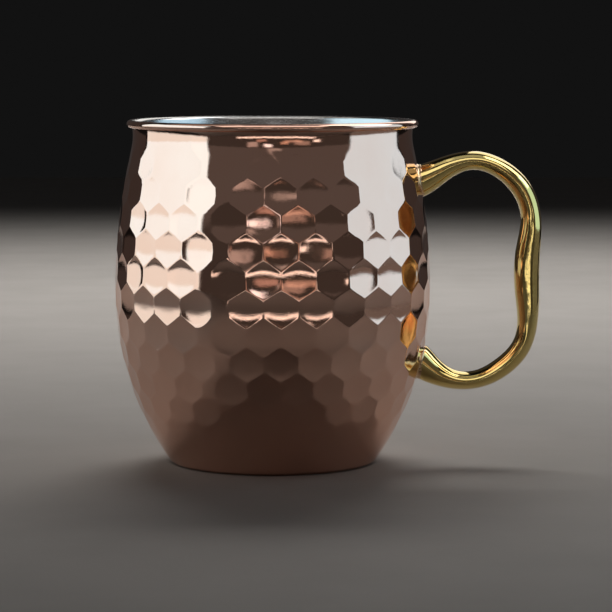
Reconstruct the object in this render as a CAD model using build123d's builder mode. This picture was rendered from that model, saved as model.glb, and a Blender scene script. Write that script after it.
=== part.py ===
from build123d import *
import os
from math import acos, asin, cos, degrees, radians, sin, sqrt, tan

# A barrel-shaped copper mug with a rolled rim, a bright steel lining and a cast brass handle.
# Millimetres. +Z is up, the cup's axis is Z, the base stands on Z = 0 and the handle is at +X.

# ---- driving dimensions ----
HEIGHT = 98.0
BELLY_RADIUS = 45.0
BELLY_LOW = 49.0  # the side is straight between these two heights
BELLY_HIGH = 51.0
LOWER_BOW = 83.0  # radius of the side's bow below the belly, seen from the side
UPPER_BOW = 160.0  # and above it
NECK = 89.8  # above this the side bends outwards under the rim
FLARE = 12.0  # degrees it leans outwards where the rim's roll begins

SHEET = 0.4  # copper
LINING = 0.4  # stainless steel, face to face with the copper

ROLL_RADIUS = 1.1  # the rim's roll, outside
ROLL_HOLLOW = 0.3  # and inside: the copper is doubled from the crown outwards
ROLL_TURN = 215.0  # degrees of roll from the crown outwards and under

RECESS = 1.6  # how high the middle of the base is held off the ground
RECESS_RADIUS = 21.0
STEP_ROUND = 2.0  # radius of both bends of the step around the recess
FOOT_ROUND = 2.5

HANDLE_WIDTH = 9.6
GRIP_DEPTH = 7.2  # where the section is deeper than this, near the joints,
ROOT_FLARE = 0.4  # the width grows by this much of what the depth grows
BRAZE = 0.4  # thickness of the brazing metal between the handle's ends and the copper
BRAZE_MARGIN = 0.7  # how far it shows around them

# The handle's middle line in the XZ plane, from the upper joint round to the lower one, with
# the depth of its oval section there, seen from the side.
HANDLE_STATIONS = [
    ((37.5, 79.0), 10.6),
    ((43.5, 81.3), 8.7),
    ((50.0, 84.6), 6.4),
    ((57.8, 86.4), 5.3),
    ((65.9, 83.4), 5.5),
    ((71.6, 77.3), 5.8),
    ((73.7, 70.2), 5.8),
    ((72.9, 60.0), 7.1),
    ((72.7, 50.0), 7.1),
    ((73.0, 41.0), 6.0),
    ((71.2, 33.2), 5.5),
    ((66.0, 27.4), 5.6),
    ((58.7, 23.7), 5.1),
    ((51.0, 23.8), 5.7),
    ((44.5, 27.0), 8.2),
    ((39.5, 30.6), 9.6),
]

# ---- centres and angles of the cup's outline, worked out from the above ----
step_turn = degrees(acos(1 - RECESS / (2 * STEP_ROUND)))
step_top = (RECESS_RADIUS, RECESS - STEP_ROUND)
step_bottom = (RECESS_RADIUS + 2 * STEP_ROUND * sin(radians(step_turn)), STEP_ROUND)

lower_centre = (BELLY_RADIUS - LOWER_BOW, BELLY_LOW)
upper_centre = (BELLY_RADIUS - UPPER_BOW, BELLY_HIGH)
foot_reach = sqrt((LOWER_BOW - FOOT_ROUND) ** 2 - (BELLY_LOW - FOOT_ROUND) ** 2)
foot_centre = (lower_centre[0] + foot_reach, FOOT_ROUND)
foot_lean = degrees(asin((BELLY_LOW - FOOT_ROUND) / (LOWER_BOW - FOOT_ROUND)))

roll_height = HEIGHT - ROLL_RADIUS
neck_lean = degrees(asin((NECK - BELLY_HIGH) / UPPER_BOW))
neck_rise = roll_height - NECK + ROLL_HOLLOW * sin(radians(FLARE))
neck_bend = neck_rise / (sin(radians(neck_lean)) + sin(radians(FLARE)))
neck_reach = (UPPER_BOW + neck_bend) * cos(radians(neck_lean))
neck_centre = (upper_centre[0] + neck_reach, NECK + neck_bend * sin(radians(neck_lean)))
roll_centre = (neck_centre[0] - (neck_bend - ROLL_HOLLOW) * cos(radians(FLARE)), roll_height)
flare_height = roll_height + roll_centre[0] * tan(radians(FLARE))  # where the roll's first radius meets the axis


def cup_section(inset):
    """Half section of the cup as if it were solid up to the roll, with its outer face set in by inset."""
    with BuildSketch(mode=Mode.PRIVATE) as section:
        with BuildLine():
            recess = Line((0, RECESS + inset), (RECESS_RADIUS, RECESS + inset))
            CenterArc(step_top, STEP_ROUND + inset, 90, -step_turn)
            CenterArc(step_bottom, STEP_ROUND - inset, -90 - step_turn, step_turn)
            Line((step_bottom[0], inset), (foot_centre[0], inset))
            CenterArc(foot_centre, FOOT_ROUND - inset, -90, 90 - foot_lean)
            CenterArc(lower_centre, LOWER_BOW - inset, -foot_lean, foot_lean)
            Line((BELLY_RADIUS - inset, BELLY_LOW), (BELLY_RADIUS - inset, BELLY_HIGH))
            CenterArc(upper_centre, UPPER_BOW - inset, 0, neck_lean)
            neck = CenterArc(neck_centre, neck_bend + inset, 180 + neck_lean, -neck_lean - FLARE)
            Polyline(neck @ 1, (0, flare_height), recess @ 0)
        make_face()
    return section.sketch


def roll_sector(inner, outer, turn):
    """Section of the rim's roll between two radii, from its crown round by turn degrees, outwards."""
    with BuildSketch(mode=Mode.PRIVATE) as sector:
        with BuildLine():
            near = CenterArc(roll_centre, inner, 90, -turn)
            far = CenterArc(roll_centre, outer, 90, -turn)
            Line(near @ 0, far @ 0)
            Line(near @ 1, far @ 1)
        make_face()
    return sector.sketch


# ---- copper shell: one sheet, from the middle of the base up and over the rim's roll ----
with BuildPart() as copper_shell:
    with BuildSketch(Plane.XZ):
        add(cup_section(0))
        add(cup_section(SHEET), mode=Mode.SUBTRACT)
        add(roll_sector(ROLL_HOLLOW, ROLL_HOLLOW + SHEET, FLARE - 90))
        add(roll_sector(ROLL_HOLLOW, ROLL_RADIUS, ROLL_TURN))
    revolve(axis=Axis.Z)
copper_shell.part.label = "copper_shell"

# ---- steel liner: lies against the copper and ends at the roll's crown ----
with BuildPart() as steel_liner:
    with BuildSketch(Plane.XZ):
        add(cup_section(SHEET))
        add(cup_section(SHEET + LINING), mode=Mode.SUBTRACT)
        add(roll_sector(ROLL_HOLLOW + SHEET, ROLL_RADIUS, FLARE - 90))
    revolve(axis=Axis.Z)
steel_liner.part.label = "steel_liner"

# ---- the cup as solid metal, and the same with the brazing metal's thickness, for trimming ----
with BuildPart() as cup_form:
    with BuildSketch(Plane.XZ):
        add(cup_section(0))
    revolve(axis=Axis.Z)

with BuildPart() as brazed_form:
    with BuildSketch(Plane.XZ):
        add(cup_section(-BRAZE))
    revolve(axis=Axis.Z)

# ---- the handle's middle line and oval sections ----
with BuildLine() as handle_line:
    middle = Spline(*[(x, 0, z) for (x, z), depth in HANDLE_STATIONS])


def oval_section(station, margin=0):
    """The handle's section at one station of its middle line, grown all round by margin."""
    (x, z), depth = station
    width = HANDLE_WIDTH + ROOT_FLARE * max(0, depth - GRIP_DEPTH)
    along = middle.tangent_at(Vector(x, 0, z))
    with BuildSketch(Plane(origin=(x, 0, z), x_dir=(0, 1, 0), z_dir=along)) as oval:
        Ellipse(width / 2 + margin, depth / 2 + margin)
    return oval.sketch


# ---- brass handle: one casting, its ends cut to fit the brazing metal on the cup ----
with BuildPart() as brass_handle:
    loft([oval_section(station) for station in HANDLE_STATIONS])
    add(brazed_form.part, mode=Mode.SUBTRACT)
brass_handle.part.label = "brass_handle"

# ---- brazed joints: a thin pad between each end of the handle and the copper ----
with BuildPart() as upper_braze_joint:
    loft([oval_section(station, BRAZE_MARGIN) for station in HANDLE_STATIONS[:3]])
    add(brazed_form.part, mode=Mode.INTERSECT)
    add(cup_form.part, mode=Mode.SUBTRACT)
upper_braze_joint.part.label = "upper_braze_joint"

with BuildPart() as lower_braze_joint:
    loft([oval_section(station, BRAZE_MARGIN) for station in HANDLE_STATIONS[-3:]])
    add(brazed_form.part, mode=Mode.INTERSECT)
    add(cup_form.part, mode=Mode.SUBTRACT)
lower_braze_joint.part.label = "lower_braze_joint"

os.makedirs("parts", exist_ok=True)
for piece in (copper_shell, steel_liner, brass_handle, upper_braze_joint, lower_braze_joint):
    export_step(piece.part, f"parts/{piece.part.label}.step")
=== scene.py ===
"""A hammered copper mug with a steel lining and a cast brass handle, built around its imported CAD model."""
import math

import bpy
import numpy as np
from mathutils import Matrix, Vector
from mathutils.bvhtree import BVHTree


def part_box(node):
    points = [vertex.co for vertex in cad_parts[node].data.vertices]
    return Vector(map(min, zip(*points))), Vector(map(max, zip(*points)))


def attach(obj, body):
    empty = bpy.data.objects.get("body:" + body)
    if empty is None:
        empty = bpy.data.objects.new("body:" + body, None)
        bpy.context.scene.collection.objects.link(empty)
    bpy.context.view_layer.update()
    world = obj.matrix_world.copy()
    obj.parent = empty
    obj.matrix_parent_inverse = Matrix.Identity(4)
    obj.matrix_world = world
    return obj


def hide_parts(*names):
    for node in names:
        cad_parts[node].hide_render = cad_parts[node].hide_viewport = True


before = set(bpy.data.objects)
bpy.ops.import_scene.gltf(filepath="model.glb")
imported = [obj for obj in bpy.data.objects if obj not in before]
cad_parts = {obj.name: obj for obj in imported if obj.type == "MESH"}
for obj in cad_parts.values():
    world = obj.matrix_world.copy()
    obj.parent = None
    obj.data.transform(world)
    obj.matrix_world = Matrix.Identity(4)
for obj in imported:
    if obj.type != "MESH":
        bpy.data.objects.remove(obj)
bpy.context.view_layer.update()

# ---- sizes in millimetres, the overall ones from the frame ----
MM = 0.001
shell_low, shell_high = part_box("copper_shell")
HEIGHT = round(shell_high.z / MM, 1)
BELLY_RADIUS = round(shell_high.x / MM, 1)
BELLY_LOW = 49.0  # the side is straight between these two heights
BELLY_HIGH = 51.0
LOWER_BOW = 83.0  # radius of the side's bow below the belly, seen from the side
UPPER_BOW = 160.0  # and above it
NECK = 89.8  # above this the side bends outwards under the rim
FLARE = 12.0  # degrees it leans outwards where the rim's roll begins

SHEET = 0.4  # copper
LINING = 0.4  # stainless steel

ROLL_RADIUS = 1.1
ROLL_HOLLOW = 0.3
ROLL_TURN = 215.0
ROLL_START = 180 - FLARE - 6  # the first ring of the roll's section, just past its beginning

RECESS = 1.6
RECESS_RADIUS = 21.0
STEP_ROUND = 2.0
FOOT_ROUND = 2.5

# ---- the hammered pattern: rows of hexagonal dimples, in two half turns with a plain land between ----
HALF_COLUMNS = 14
COLUMN = math.radians(360 / (2 * HALF_COLUMNS + 1))  # each of the two lands is half a column wide
FIRST_COLUMN = math.radians(-15.0)  # azimuth from -Y towards +X
ROWS = 11
ROW_PITCH = 0.8046  # up the side, in columns
TOP_ROW = 3.806  # how far the first row's middle is above the belly's, in columns
PUNCH_RADIUS = 28.0
FLATNESS = 0.4  # how much of a dimple's depth is a fourth power of the distance, flat in the middle
ROW_LEAN = {4: math.radians(1.2), 5: math.radians(-0.8)}  # how much further up than the side a row looks
SHARPNESS = 26.0  # of the ridges between dimples, per millimetre of depth
SOFT_RIDGES = 0.4  # the first row's sharpness, as a share of the fourth's
LINER_SHARPNESS = 9.0
PLATEAU = 0.06  # how much shallower the dimples are than their spacing gives, so their corners stay flat
ROW_LIFT = {0: 0.06, 5: 0.05, 9: 0.06, 10: 0.16}  # how much shallower than the rest a row is
PER_SIDE = 4  # mesh steps along each side of a dimple
FINE_RINGS = [0.32, 0.58, 0.76, 0.87, 0.93, 0.97, 1.0]  # rings of a dimple's mesh, closer near the ridge
SOFT_RINGS = [0.4, 0.7, 0.88, 1.0]
BRAZE = 0.4  # the brazing metal under the handle's ends
FILLET = 0.5  # how far it shows around them
FILLET_STEPS = 72
PROBE_FROM = 9.0  # where the search for the handle's side starts, from its root's middle
PROBE_TO = 1.0  # and where it gives up
PROBE_STEP = 0.5
SEAM = 0.06  # rounding of the sheets' edges
LAND_STEPS = [0, 0.06, 0.14, 0.26, 0.5, 0.74, 0.86, 0.94, 1]  # across a land

# ---- how finely the rest is divided ----
ARC_POINTS = 400  # points along each arc of the outline
LINE_POINTS = 100  # and along each straight stretch
RECESS_RINGS = np.array([0.3, 0.6, 0.85, 1.0])  # rings of the recess, as shares of its radius
ROUND_RINGS = 8  # on each small round of the base and the foot
FLAT_RINGS = 4  # on the ring that the mug stands on
SIDE_RINGS = 64  # up the hidden side
BELOW_RINGS = 9  # between the foot and the lowest dimples
ABOVE_RINGS = 13  # between the highest dimples and the roll
UNDER_STEPS = 18  # around the inside of the roll
OUTER_STEPS = 34  # around its outside
INNER_STEPS = 6  # where the copper and the lining meet in it
LINER_STEPS = 14  # around its silver half

# A dimple's outline in columns: an upright side's corner and the hexagon's top, above its middle.
SIDE_CORNER = ROW_PITCH / 2 - 1 / (8 * ROW_PITCH)
TOP_CORNER = ROW_PITCH - SIDE_CORNER


# ---------------------------------------------------------------- the cup's outline
def outline_arc(centre, radius, start, sweep, metal_inside=True):
    """Points and outward normals of an arc of the cup's outline, in the (radius, height) plane."""
    turn = np.radians(start + sweep * np.linspace(0, 1, ARC_POINTS))
    out = np.stack([np.cos(turn), np.sin(turn)], axis=1)
    return np.asarray(centre) + radius * out, out if metal_inside else -out


def outline_line(start, end):
    """The same for a straight stretch."""
    points = np.linspace(start, end, LINE_POINTS)
    along = (points[-1] - points[0]) / np.linalg.norm(points[-1] - points[0])
    return points, np.tile([along[1], -along[0]], (len(points), 1))


def cup_outline():
    """The copper's outer line from the middle of the base up to where the rim's roll begins."""
    step_turn = math.degrees(math.acos(1 - RECESS / (2 * STEP_ROUND)))
    step_end = RECESS_RADIUS + 2 * STEP_ROUND * math.sin(math.radians(step_turn))
    lower = (BELLY_RADIUS - LOWER_BOW, BELLY_LOW)
    upper = (BELLY_RADIUS - UPPER_BOW, BELLY_HIGH)
    foot_reach = math.sqrt((LOWER_BOW - FOOT_ROUND) ** 2 - (BELLY_LOW - FOOT_ROUND) ** 2)
    foot = (lower[0] + foot_reach, FOOT_ROUND)
    foot_lean = math.degrees(math.asin((BELLY_LOW - FOOT_ROUND) / (LOWER_BOW - FOOT_ROUND)))
    neck_lean = math.asin((NECK - BELLY_HIGH) / UPPER_BOW)
    flare = math.radians(FLARE)
    neck_rise = HEIGHT - ROLL_RADIUS - NECK + ROLL_HOLLOW * math.sin(flare)
    neck_bend = neck_rise / (math.sin(neck_lean) + math.sin(flare))
    neck_reach = (UPPER_BOW + neck_bend) * math.cos(neck_lean)
    neck = (upper[0] + neck_reach, NECK + neck_bend * math.sin(neck_lean))
    neck_lean = math.degrees(neck_lean)
    stretches = [
        outline_line((0, RECESS), (RECESS_RADIUS, RECESS)),
        outline_arc((RECESS_RADIUS, RECESS - STEP_ROUND), STEP_ROUND, 90, -step_turn, False),
        outline_arc((step_end, STEP_ROUND), STEP_ROUND, -90 - step_turn, step_turn),
        outline_line((step_end, 0), (foot[0], 0)),
        outline_arc(foot, FOOT_ROUND, -90, 90 - foot_lean),
        outline_arc(lower, LOWER_BOW, -foot_lean, foot_lean),
        outline_line((BELLY_RADIUS, BELLY_LOW), (BELLY_RADIUS, BELLY_HIGH)),
        outline_arc(upper, UPPER_BOW, 0, neck_lean),
        outline_arc(neck, neck_bend, 180 + neck_lean, -neck_lean - FLARE, False),
    ]
    points = np.concatenate([p for p, n in stretches])
    normals = np.concatenate([n for p, n in stretches])
    step = np.linalg.norm(np.diff(points, axis=0), axis=1)
    length = np.concatenate([[0], np.cumsum(step)])
    kept = np.concatenate([[True], step > 1e-9])
    ends = length[np.cumsum([len(p) for p, n in stretches]) - 1]
    return length[kept], points[kept], normals[kept], ends


outline_s, outline_points, outline_normals, stretch_ends = cup_outline()
ROLL_CENTRE = outline_points[-1] + ROLL_HOLLOW * outline_normals[-1]


def on_outline(s):
    """Radius, height and outward normal of the outline at the distance s along it."""
    columns = [outline_points[:, 0], outline_points[:, 1], outline_normals[:, 0], outline_normals[:, 1]]
    return [np.interp(s, outline_s, column) for column in columns]


# The pattern keeps its shape as the cup narrows, so its rows are even in climb: distance over radius.
between = (outline_points[1:, 0] + outline_points[:-1, 0]) / 2
outline_climb = np.concatenate([[0], np.cumsum(np.diff(outline_s) / between)])
straight = np.isclose(outline_points[:, 0], BELLY_RADIUS)
outline_climb -= np.interp(outline_s[straight].mean(), outline_s, outline_climb)


def dimple_depth(azimuth, s, sharpness):
    """How far the hammering pushes the side in at each place: the deepest of the punch marks, blended."""
    climb = np.interp(s, outline_s, outline_climb)
    radius = on_outline(s)[0]
    rows_down = TOP_ROW - climb / COLUMN
    sharpness = sharpness * np.interp(rows_down, (0, 3 * ROW_PITCH), (SOFT_RIDGES, 1))
    total = np.ones_like(climb)
    top = TOP_CORNER * COLUMN
    for row in range(ROWS):
        up = climb - (TOP_ROW - row * ROW_PITCH) * COLUMN
        near = np.abs(up) < COLUMN
        for half in range(2):
            start = FIRST_COLUMN + half * math.pi + (row % 2) * COLUMN / 2
            along = (azimuth[near] - start + math.pi / 2) % (2 * math.pi) - math.pi / 2
            nearest = np.round(along / COLUMN)
            for column in (nearest - 1, nearest, nearest + 1):
                real = (column >= 0) & (column < HALF_COLUMNS)
                reach = ((along - column * COLUMN) ** 2 + up[near] ** 2) / top**2
                bowl = (1 - FLATNESS) * (1 - reach) + FLATNESS * (1 - reach**2)
                mark = (radius[near] * top) ** 2 * bowl / (2 * PUNCH_RADIUS)
                mark = mark + radius[near] * up[near] * ROW_LEAN.get(row, 0)
                mark = mark - PLATEAU - ROW_LIFT.get(row, 0)
                total[near] += real * np.exp(sharpness[near] * mark)
    return np.log(total) / sharpness


def cup_surface(azimuth, s, inset=0.0, sharpness=SHARPNESS):
    """Points on the hammered cup, inset within the sheet from its outer face."""
    radius, height, out, up = on_outline(s)
    inward = inset + dimple_depth(azimuth, s, sharpness)
    radius = radius - inward * out
    return np.stack([radius * np.sin(azimuth), -radius * np.cos(azimuth), height - inward * up], axis=1)


# ---------------------------------------------------------------- meshes
class Patches:
    """Points and faces of one closed mesh, collected patch by patch, in millimetres."""

    def __init__(self):
        self.points = []
        self.faces = []
        self.count = 0

    def add(self, points):
        """Adds points and returns their numbers."""
        points = np.asarray(points, float).reshape(-1, 3)
        self.points.append(points)
        self.count += len(points)
        return list(range(self.count - len(points), self.count))

    def strip(self, ring, following):
        """Quads between two rings of the same length, each running round the cup."""
        for i in range(len(ring)):
            j = (i + 1) % len(ring)
            self.faces.append((ring[i], ring[j], following[j], following[i]))

    def fan(self, middle, ring, flip=False):
        """Triangles from a middle point to a ring."""
        for i in range(len(ring)):
            j = (i + 1) % len(ring)
            self.faces.append((middle, ring[i], ring[j]) if flip else (middle, ring[j], ring[i]))

    def build(self, name, material):
        """Makes the smooth-shaded mesh object, in metres."""
        mesh = bpy.data.meshes.new(name)
        mesh.from_pydata((np.concatenate(self.points) * MM).tolist(), [], self.faces)
        mesh.polygons.foreach_set("use_smooth", [True] * len(mesh.polygons))
        mesh.materials.append(material)
        mesh.update()
        piece = bpy.data.objects.new(name, mesh)
        bpy.context.scene.collection.objects.link(piece)
        return piece


def hexagon_edge(corners, per_side):
    """Points along a line through corners, with per_side steps from each to the next, without the last."""
    steps = np.linspace(0, 1, per_side, endpoint=False)[:, None]
    return np.concatenate([a + (b - a) * steps for a, b in zip(corners[:-1], corners[1:])])


def lattice(rings, per_side):
    """The dimpled band as places (azimuth, distance along the outline) and faces, with its two edges.

    Each dimple is a hexagon of rings around its middle, so the ridges lie along mesh edges. Each land
    is a ladder from the last column of one half turn to the first of the next.
    """
    numbers, places, faces = {}, [], []
    turn = 2 * HALF_COLUMNS + 1

    def number(column, climb):
        key = (round(column % turn * 1000) % (turn * 1000), round(climb * 1000))
        if key not in numbers:
            numbers[key] = len(places)
            s = np.interp(climb * COLUMN, outline_climb, outline_s)
            places.append((FIRST_COLUMN + column * COLUMN, s))
        return numbers[key]

    def middle(row, column, half):
        return np.array([column + (row % 2) / 2 + half * turn / 2, TOP_ROW - row * ROW_PITCH])

    top, side = TOP_CORNER, SIDE_CORNER
    corners = [(0, top), (-0.5, side), (-0.5, -side), (0, -top), (0.5, -side), (0.5, side), (0, top)]
    outline = hexagon_edge(np.array(corners), per_side)
    for row in range(ROWS):
        for half in range(2):
            for column in range(HALF_COLUMNS):
                centre = middle(row, column, half)
                inner = [number(*centre)] * len(outline)
                for ring in rings:
                    around = [number(*(centre + ring * point)) for point in outline]
                    for i in range(len(outline)):
                        j = (i + 1) % len(outline)
                        quad = (inner[i], around[i], around[j], inner[j])
                        faces.append(quad if inner[i] != inner[j] else quad[:3])
                    inner = around

    def edge(row, sign):
        """The band's top or bottom edge as columns and climbs, once around."""
        around = []
        for half in range(2):
            for column in range(HALF_COLUMNS):
                peak = [(-0.5, sign * side), (0, sign * top), (0.5, sign * side)]
                around.append(middle(row, column, half) + hexagon_edge(np.array(peak), per_side))
            last = middle(row, HALF_COLUMNS - 1, half) + (0.5, sign * side)
            around.append(last + np.array([(step / 2, 0) for step in LAND_STEPS[:-1]]))
        return np.concatenate(around)

    for half in range(2):
        zigzag = []
        for row in range(ROWS):
            last = middle(row, HALF_COLUMNS - 1, half)
            zigzag += [last + (0.5, side), last + (0.5, -side)]
        zigzag = np.concatenate([hexagon_edge(np.array(zigzag), per_side), [zigzag[-1]]])
        ladder = [[number(c + step / 2, w) for c, w in zigzag] for step in LAND_STEPS]
        for left, right in zip(ladder[:-1], ladder[1:]):
            for i in range(len(left) - 1):
                faces.append((left[i], left[i + 1], right[i + 1], right[i]))

    edges = [[number(*point) for point in edge(row, sign)] for row, sign in ((0, 1), (ROWS - 1, -1))]
    return np.array(places), faces, edges


def lathe_ring(azimuths, radius, height):
    """A level ring of points."""
    heights = np.full_like(azimuths, height)
    return np.stack([radius * np.sin(azimuths), -radius * np.cos(azimuths), heights], 1)


def roll_ring(azimuths, radius, angle):
    """A ring of points on the rim's roll, at an angle around its section."""
    turn = math.radians(angle)
    across = radius * np.array([math.cos(turn), math.sin(turn)])
    return lathe_ring(azimuths, *(ROLL_CENTRE + across))


def base_stops():
    """Distances along the outline for rings, from near the base's middle to the top of the foot's round."""
    recess, step_top, step_end, flat, foot = stretch_ends[:5]
    return np.concatenate([
        recess * RECESS_RINGS,
        np.linspace(recess, step_top, ROUND_RINGS)[1:],
        np.linspace(step_top, step_end, ROUND_RINGS)[1:],
        np.linspace(step_end, flat, FLAT_RINGS)[1:],
        np.linspace(flat, foot, ROUND_RINGS)[1:],
    ])


def cup_rings(patches, azimuths, stops, inset, sharpness):
    """Rings of the cup's surface at each stop, which is one distance, or one for each azimuth."""
    return [patches.add(cup_surface(azimuths, stop + 0 * azimuths, inset, sharpness)) for stop in stops]


def dimpled_wall(patches, inset, sharpness, rings, inwards):
    """One whole face of the cup, from the middle of the base to where the roll begins.

    Returns the azimuths of its rings and the top ring. inwards faces the drink.
    """
    places, faces, (top_edge, bottom_edge) = lattice(rings, PER_SIDE)
    numbers = patches.add(cup_surface(places[:, 0], places[:, 1], inset, sharpness))
    patches.faces += [tuple(numbers[i] for i in (face[::-1] if inwards else face)) for face in faces]
    azimuths = places[top_edge, 0]
    foot = stretch_ends[4]
    rise = [foot + (places[bottom_edge, 1] - foot) * t for t in np.linspace(0, 1, BELOW_RINGS)[1:-1]]
    below = cup_rings(patches, azimuths, list(base_stops()) + rise, inset, sharpness)
    top = places[top_edge, 1]
    climb = [top + (outline_s[-1] - top) * t for t in np.linspace(0, 1, ABOVE_RINGS)[1:]]
    above = cup_rings(patches, azimuths, climb, inset, sharpness)
    lower = below + [[numbers[i] for i in bottom_edge]]
    upper = [[numbers[i] for i in top_edge]] + above
    for chain in (lower, upper):
        for ring, following in zip(chain[:-1], chain[1:]):
            patches.strip(*((following, ring) if inwards else (ring, following)))
    middle = patches.add([[0, 0, RECESS + inset]])[0]
    patches.fan(middle, below[0], flip=inwards)
    return azimuths, above[-1]


def hidden_wall(patches, azimuths, inwards):
    """The face between the copper and the lining, which nothing shows, from the base to the roll."""
    side = np.linspace(stretch_ends[4], outline_s[-1], SIDE_RINGS)[1:]
    rings = cup_rings(patches, azimuths, list(base_stops()) + list(side), SHEET, LINER_SHARPNESS)
    for ring, following in zip(rings[:-1], rings[1:]):
        patches.strip(*((following, ring) if inwards else (ring, following)))
    middle = patches.add([[0, 0, RECESS + SHEET]])[0]
    patches.fan(middle, rings[0], flip=inwards)
    return rings[-1]


def roll_path(patches, azimuths, path):
    """Rings along a path of (radius, angle) around the roll's section, each joined to the next."""
    rings = [patches.add(roll_ring(azimuths, radius, angle)) for radius, angle in path]
    for ring, following in zip(rings[:-1], rings[1:]):
        patches.strip(ring, following)
    return rings[0], rings[-1]


def sweep(radius, start, end, steps):
    """Steps of a round stretch of the roll's section."""
    return [(radius, angle) for angle in np.linspace(start, end, steps)]


def make_copper_shell(material):
    """The hammered outer sheet with its rolled rim."""
    patches = Patches()
    azimuths, wall_top = dimpled_wall(patches, 0.0, SHARPNESS, FINE_RINGS, inwards=False)
    inner_top = hidden_wall(patches, azimuths, inwards=True)
    end = 90 - ROLL_TURN
    seam = math.degrees(SEAM / ROLL_RADIUS)
    path = sweep(ROLL_HOLLOW, ROLL_START, end + 4, UNDER_STEPS)
    path += [(ROLL_HOLLOW + SEAM, end), (ROLL_RADIUS - SEAM, end)]
    path += sweep(ROLL_RADIUS, end + seam, 90 - seam, OUTER_STEPS)
    path += [(ROLL_RADIUS - SEAM, 90)]
    path += sweep(ROLL_HOLLOW + SHEET, 90, ROLL_START, INNER_STEPS)
    first, last = roll_path(patches, azimuths, path)
    patches.strip(wall_top, first)
    patches.strip(last, inner_top)
    return patches.build("copper_body", material)


def make_steel_liner(material):
    """The lining, which carries the dimples through more softly."""
    patches = Patches()
    azimuths, wall_top = dimpled_wall(patches, SHEET + LINING, LINER_SHARPNESS, SOFT_RINGS, inwards=True)
    outer_top = hidden_wall(patches, azimuths, inwards=False)
    seam = math.degrees(SEAM / ROLL_RADIUS)
    path = sweep(ROLL_HOLLOW + SHEET, ROLL_START, 90, INNER_STEPS)
    path += [(ROLL_RADIUS - SEAM, 90)]
    path += sweep(ROLL_RADIUS, 90 + seam, ROLL_START, LINER_STEPS)
    first, last = roll_path(patches, azimuths, path)
    patches.strip(outer_top, first)
    patches.strip(last, wall_top)
    return patches.build("steel_lining", material)


def make_braze_fillet(name, node, material):
    """A closed ring of brazing metal in the corner between one end of the handle and the dimpled side."""
    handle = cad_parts["brass_handle"].data
    corners = [vertex.co / MM for vertex in handle.vertices]
    tree = BVHTree.FromPolygons(corners, [tuple(face.vertices) for face in handle.polygons])
    low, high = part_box(node)
    rising = outline_s > stretch_ends[4]
    middle = np.interp((low.z + high.z) / 2 / MM, outline_points[rising, 1], outline_s[rising])

    def beside(reach, turn, lift):
        """A point by the root: reach from its middle in the direction turn, lift above the cup's form."""
        s = middle + reach * np.cos(turn)
        radius, height, out, up = on_outline(s)
        azimuth = math.pi / 2 + reach * np.sin(turn) / radius
        radius = radius + lift * out
        return np.array([radius * np.sin(azimuth), -radius * np.cos(azimuth), height + lift * up])

    def reach_of_handle(turn, lift):
        """How far from the root's middle the handle's side is in one direction."""
        for reach in np.arange(PROBE_FROM, PROBE_TO, -PROBE_STEP):
            start = Vector(beside(reach, turn, lift))
            to = Vector(beside(reach - PROBE_STEP, turn, lift)) - start
            hit = tree.ray_cast(start, to.normalized(), to.length)
            if hit[0] is not None:
                return reach - hit[3] / to.length * PROBE_STEP
        return PROBE_TO

    def on_cup(reach, turn, sunk):
        """A point of the dimpled surface by the root, sunk a little into the sheet."""
        s = middle + reach * math.cos(turn)
        azimuth = math.pi / 2 + reach * math.sin(turn) / on_outline(s)[0]
        return cup_surface(np.array([azimuth]), np.array([s]), sunk)[0]

    patches = Patches()
    section = []
    for turn in np.linspace(0, 2 * math.pi, FILLET_STEPS, endpoint=False):
        root = reach_of_handle(turn, BRAZE + 0.1)
        top = beside(reach_of_handle(turn, BRAZE + FILLET), turn, BRAZE + FILLET)
        corner = on_cup(root + 0.05, turn, 0.0)
        toe = on_cup(root + FILLET + 0.1, turn, 0.02)
        curve = [top * (1 - t) ** 2 + 2 * t * (1 - t) * corner + t**2 * toe for t in np.linspace(0, 1, 9)]
        hidden = [on_cup(root - 1.0, turn, 0.25), beside(root - 1.0, turn, BRAZE + FILLET)]
        section.append(curve + hidden)
    section = np.array(section)
    rings = [patches.add(section[:, i]) for i in range(section.shape[1])]
    for ring, following in zip(rings, rings[1:] + rings[:1]):
        patches.strip(following, ring)
    return patches.build(name, material)


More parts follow.
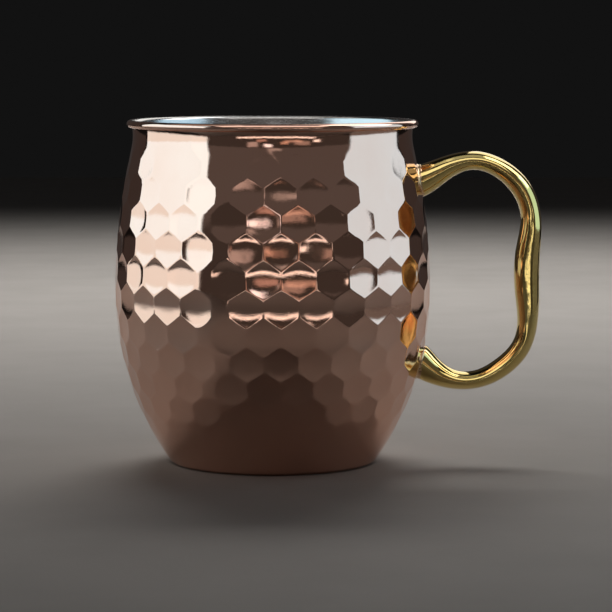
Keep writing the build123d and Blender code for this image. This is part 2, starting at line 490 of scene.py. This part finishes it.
# ---------------------------------------------------------------- materials
class Finish:
    """A node material, with short calls for the nodes that all of them use."""

    def __init__(self, name, **settings):
        self.material = bpy.data.materials.new(name)
        self.material.use_nodes = True
        self.tree = self.material.node_tree
        self.shader = self.tree.nodes["Principled BSDF"]
        for socket, value in settings.items():
            self.shader.inputs[socket.replace("_", " ")].default_value = value
        self.place = self.tree.nodes.new("ShaderNodeTexCoord").outputs["Object"]

    def link(self, output, socket):
        self.tree.links.new(output, socket)

    def node(self, kind, **settings):
        made = self.tree.nodes.new("ShaderNode" + kind)
        for name, value in settings.items():
            setattr(made, name, value)
        return made

    def stretched(self, scale):
        """The object's coordinates, scaled by axis."""
        mapping = self.node("Mapping")
        mapping.inputs["Scale"].default_value = scale
        self.link(self.place, mapping.inputs["Vector"])
        return mapping.outputs["Vector"]

    def around(self, scale):
        """Coordinates that follow the cup: the angle around it, the height and the radius."""
        split = self.node("SeparateXYZ")
        self.link(self.place, split.inputs[0])
        angle = self.node("Math", operation="ARCTAN2")
        self.link(split.outputs["Y"], angle.inputs[0])
        self.link(split.outputs["X"], angle.inputs[1])
        flat = self.node("CombineXYZ")
        self.link(split.outputs["X"], flat.inputs["X"])
        self.link(split.outputs["Y"], flat.inputs["Y"])
        radius = self.node("VectorMath", operation="LENGTH")
        self.link(flat.outputs[0], radius.inputs[0])
        joined = self.node("CombineXYZ")
        self.link(angle.outputs[0], joined.inputs["X"])
        self.link(split.outputs["Z"], joined.inputs["Y"])
        self.link(radius.outputs["Value"], joined.inputs["Z"])
        mapping = self.node("Mapping")
        mapping.inputs["Scale"].default_value = scale
        self.link(joined.outputs[0], mapping.inputs["Vector"])
        return mapping.outputs["Vector"]

    def noise(self, place, scale, detail, roughness=0.5):
        """Cloudy noise around a half."""
        made = self.node("TexNoise")
        made.inputs["Scale"].default_value = scale
        made.inputs["Detail"].default_value = detail
        made.inputs["Roughness"].default_value = roughness
        self.link(place, made.inputs["Vector"])
        return made.outputs["Fac"]

    def paint(self, amount, first, second):
        """Colours the metal or the table between two colours."""
        self.link(self.blend(amount, first, second), self.shader.inputs["Base Color"])

    def span(self, value, low, high, start=0.3, end=0.7):
        """Maps value from start..end to low..high."""
        made = self.node("MapRange")
        for socket, number in (("From Min", start), ("From Max", end), ("To Min", low), ("To Max", high)):
            made.inputs[socket].default_value = number
        self.link(value, made.inputs["Value"])
        return made.outputs["Result"]

    def blend(self, amount, first, second):
        """Mixes two colours by amount."""
        made = self.node("Mix", data_type="RGBA")
        self.link(amount, made.inputs["Factor"])
        made.inputs[6].default_value = (*first, 1)
        made.inputs[7].default_value = (*second, 1)
        return made.outputs[2]

    def bump(self, height, distance, below=None):
        """Fine relief, distance in metres, on top of the bumps below it."""
        made = self.node("Bump")
        made.inputs["Strength"].default_value = 1.0
        made.inputs["Distance"].default_value = distance
        self.link(height, made.inputs["Height"])
        if below is not None:
            self.link(below, made.inputs["Normal"])
        self.link(made.outputs["Normal"], self.shader.inputs["Normal"])
        return made.outputs["Normal"]


def polished_copper():
    finish = Finish("polished_copper", Metallic=1.0)
    stain = finish.noise(finish.place, 45, detail=4)
    warm = finish.span(stain, 0.0, 1.0, 0.35, 0.7)
    finish.paint(warm, (0.93, 0.59, 0.46), (0.91, 0.55, 0.42))
    smear = finish.noise(finish.stretched((1, 1, 0.5)), 120, detail=6, roughness=0.6)
    finish.link(finish.span(smear, 0.02, 0.07, 0.35, 0.75), finish.shader.inputs["Roughness"])
    scratches = finish.noise(finish.around((30, 9000, 400)), 1.0, detail=4, roughness=0.7)
    finish.bump(scratches, 0.000004)
    return finish.material


def satin_steel():
    finish = Finish("satin_steel", Metallic=1.0)
    drawn = finish.noise(finish.around((12, 6000, 6000)), 1.0, detail=5, roughness=0.65)
    tone = finish.span(drawn, 0.0, 1.0, 0.3, 0.7)
    finish.paint(tone, (0.57, 0.55, 0.53), (0.68, 0.66, 0.64))
    finish.link(finish.span(drawn, 0.16, 0.30), finish.shader.inputs["Roughness"])
    finish.bump(drawn, 0.00001)
    return finish.material


def cast_brass():
    finish = Finish("cast_brass", Metallic=1.0)
    stain = finish.noise(finish.place, 70, detail=4)
    tone = finish.span(stain, 0.0, 1.0, 0.35, 0.7)
    finish.paint(tone, (0.84, 0.66, 0.26), (0.78, 0.60, 0.21))
    smear = finish.noise(finish.place, 300, detail=6, roughness=0.6)
    finish.link(finish.span(smear, 0.04, 0.11), finish.shader.inputs["Roughness"])
    waves = finish.noise(finish.place, 220, detail=1)
    below = finish.bump(waves, 0.00005)
    buffing = finish.noise(finish.stretched((4000, 700, 4000)), 1.0, detail=3)
    finish.bump(buffing, 0.000004, below=below)
    return finish.material


def brazing_metal():
    finish = Finish("brazing_metal", Metallic=1.0)
    grain = finish.noise(finish.place, 900, detail=5)
    tone = finish.span(grain, 0.0, 1.0, 0.3, 0.7)
    finish.paint(tone, (0.72, 0.46, 0.28), (0.80, 0.58, 0.33))
    finish.link(finish.span(grain, 0.14, 0.32), finish.shader.inputs["Roughness"])
    finish.bump(grain, 0.00003)
    return finish.material


def pale_table():
    finish = Finish("pale_table", **{"Roughness": 0.7, "Specular IOR Level": 0.12})
    grain = finish.noise(finish.place, 30, detail=5)
    tone = finish.span(grain, 0.0, 1.0)
    finish.paint(tone, (0.40, 0.385, 0.37), (0.43, 0.415, 0.40))
    return finish.material


# ---------------------------------------------------------------- the camera, the floor and the lights
def make_camera():
    """The photograph's view: a long lens a little above the rim's height, tilted down to the belly."""
    camera = bpy.data.objects.new("camera", bpy.data.cameras.new("camera"))
    bpy.context.scene.collection.objects.link(camera)
    camera.location = (CAMERA_SIDE * MM, -CAMERA_DISTANCE * MM, CAMERA_HEIGHT * MM)
    camera.rotation_euler = (math.radians(90 - CAMERA_TILT), 0, 0)
    camera.data.lens = CAMERA_LENS
    camera.data.sensor_width = 36
    camera.data.clip_end = 20
    bpy.context.scene.camera = camera


def make_table():
    """The plain pale table top, a thin slab. Its top is the ground that the mug stands on."""
    left, right, front, back = TABLE
    edge = [(left, front), (right, front), (right, back), (left, back)]
    corners = [(x, y, z) for z in (0, -TABLE_THICKNESS) for x, y in edge]
    faces = [(0, 1, 2, 3), (7, 6, 5, 4)] + [(i, i + 4, (i + 1) % 4 + 4, (i + 1) % 4) for i in range(4)]
    mesh = bpy.data.meshes.new("table")
    mesh.from_pydata(corners, [], faces)
    mesh.materials.append(pale_table())
    table = bpy.data.objects.new("table", mesh)
    bpy.context.scene.collection.objects.link(table)


def panel(name, middle, aim, size, radiance, colour, spread=180, on_table=False):
    """A rectangular light that looks equally bright all over, with its place and sizes in metres.

    Most of them are there only to be mirrored in the metal. Those with on_table light the table and
    aren't mirrored.
    """
    light = bpy.data.lights.new(name, "AREA")
    light.shape = "RECTANGLE"
    light.size, light.size_y = size
    light.energy = radiance * math.pi * size[0] * size[1]
    light.color = colour
    light.spread = math.radians(spread)
    lamp = bpy.data.objects.new(name, light)
    lamp.location = middle
    lamp.rotation_euler = (Vector(aim) - Vector(middle)).to_track_quat("-Z", "Y").to_euler()
    lamp.visible_camera = False
    lamp.visible_diffuse = on_table
    lamp.visible_glossy = not on_table
    bpy.context.scene.collection.objects.link(lamp)


def make_world():
    world = bpy.data.worlds.new("studio")
    world.use_nodes = True
    world.node_tree.nodes["Background"].inputs["Color"].default_value = (*WORLD_COLOUR, 1)
    world.node_tree.nodes["Background"].inputs["Strength"].default_value = 1.0
    bpy.context.scene.world = world


# ---- the view and the studio ----
CAMERA_DISTANCE = 810.0
CAMERA_SIDE = 9.5
CAMERA_HEIGHT = 122.8
CAMERA_TILT = 5.507
CAMERA_LENS = 167.1
TABLE = (-0.42, 0.42, -0.5, 1.6)  # left, right, front and back edge, metres
TABLE_THICKNESS = 0.02
WORLD_COLOUR = (0.006, 0.006, 0.006)
bpy.context.scene.view_settings.view_transform = "Standard"

make_camera()
make_table()
make_world()

# A wide softbox stands well away on the left and a smaller one close by on the right. Each has a
# separate panel below it, and the right one's is nearly dark. Copper takes away blue, so the bright
# ones are bluish.
FAR_LEFT = -1.2
RIGHT = 0.45
panel("left_softbox", (FAR_LEFT, -0.075, 0.58), (0, -0.075, 0.58), (1.67, 0.9), 1.45, (0.72, 1.0, 1.15))
panel("left_reflector", (FAR_LEFT, -0.075, 0.02), (0, -0.075, 0.02), (1.67, 0.22), 1.1, (0.84, 1.0, 1.04))
panel("right_softbox", (RIGHT, 0.02, 0.22), (0, 0.02, 0.22), (0.47, 0.37), 1.05, (0.67, 0.99, 1.22))
panel("right_reflector", (RIGHT, 0.02, -0.09), (0, 0.02, -0.09), (0.47, 0.25), 0.14, (1.0, 0.95, 0.9))

# The dim room behind the camera, darker low down, with a bright sill and a few warm patches in it.
panel("room_high", (0, -1.2, 1.05), (0, 0, 1.05), (6.0, 1.4), 0.085, (1.0, 0.92, 0.88))
panel("room_low", (0, -1.2, 0.0), (0, 0, 0.0), (6.0, 0.7), 0.04, (1.0, 0.88, 0.8))
panel("sill", (0.06, -0.9, -0.022), (0, 0, 0.02), (1.1, 0.035), 1.6, (1.0, 0.95, 0.9))
AWAY = 0.85  # the patches' distance
MIRROR_HEIGHT = 0.055  # the height that their elevations are seen from
# Each has its azimuth, elevation, width and height in degrees, then its radiance and colour.
for number, (azimuth, elevation, width, height, radiance, colour) in enumerate((
    (-3, 10.5, 6, 5, 1.5, (0.95, 0.95, 1.0)),
    (10, 4.0, 6, 0.8, 0.9, (1.0, 0.62, 0.45)),
    (10, 5.5, 6, 0.8, 0.9, (1.0, 0.62, 0.45)),
    (10, 7.0, 6, 0.8, 0.9, (1.0, 0.62, 0.45)),
    (24, 6.0, 12, 7, 0.3, (1.0, 0.72, 0.6)),
    (36, 2.0, 5, 4, 1.4, (1.0, 0.95, 0.9)),
    (-8, 1.5, 7, 4, 0.45, (1.0, 0.62, 0.5)),
    (17, 2.5, 14, 4, 0.4, (1.0, 0.65, 0.5)),
    (-15, 8.0, 8, 9, 0.4, (1.0, 0.85, 0.8)),
    (2, 17.0, 11, 4, 0.3, (1.0, 0.9, 0.85)),
)):
    turn, rise = math.radians(azimuth), math.radians(elevation)
    place = (AWAY * math.sin(turn), -AWAY * math.cos(turn), MIRROR_HEIGHT + AWAY * math.tan(rise))
    size = (AWAY * math.radians(width), AWAY * math.radians(height))
    panel(f"patch_{number}", place, (0, 0, MIRROR_HEIGHT), size, radiance, colour)

# Soft light from the front and above for the rim, and from the right and behind for the handle. The
# last three light the table.
panel("front_softbox", (0, -0.5, 0.68), (0, 0, 0.1), (1.1, 0.36), 1.2, (1.0, 0.97, 0.94))
panel("top_softbox", (0.15, 0.05, 0.95), (0.15, 0.05, 0), (0.8, 0.6), 0.4, (0.97, 0.98, 1.0))
panel("top_left_softbox", (-0.45, 0.05, 0.85), (0, 0, 0.1), (0.4, 0.6), 0.5, (1.0, 0.95, 0.9))
panel("high_right_softbox", (0.5, 0.1, 0.62), (0, 0.05, 0.08), (0.4, 0.6), 2.6, (0.97, 0.98, 1.0))
panel("back_right_softbox", (0.3, 0.8, 0.55), (0.06, 0, 0.1), (0.44, 0.7), 1.3, (1.0, 0.98, 0.95))
panel("room_behind", (0, 1.8, 0.7), (0, 0, 0.7), (5.0, 1.6), 0.035, (1.0, 0.85, 0.8))
WARM = (1.0, 0.96, 0.92)
panel("back_softbox", (0, 0.75, 0.8), (0, 0.45, 0), (0.7, 0.5), 2.0, WARM, spread=80, on_table=True)
panel("left_fill", (-0.9, -0.2, 0.5), (-0.1, -0.1, 0), (0.5, 0.5), 0.2, (1.0, 0.9, 0.8), on_table=True)
panel("right_fill", (0.9, -0.2, 0.5), (0.1, -0.1, 0), (0.5, 0.5), 0.18, (1.0, 0.92, 0.85), on_table=True)

copper = make_copper_shell(polished_copper())
liner = make_steel_liner(satin_steel())
braze = brazing_metal()
upper_fillet = make_braze_fillet("upper_braze_fillet", "upper_braze_joint", braze)
lower_fillet = make_braze_fillet("lower_braze_fillet", "lower_braze_joint", braze)

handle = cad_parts["brass_handle"]
handle.data.materials.clear()
handle.data.materials.append(cast_brass())

for piece, node, slot in (
    (copper, "copper_shell", "copper"),
    (liner, "steel_liner", "lining_steel"),
    (upper_fillet, "upper_braze_joint", "brazing_metal"),
    (lower_fillet, "lower_braze_joint", "brazing_metal"),
):
    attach(piece, "root")
    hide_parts(node)
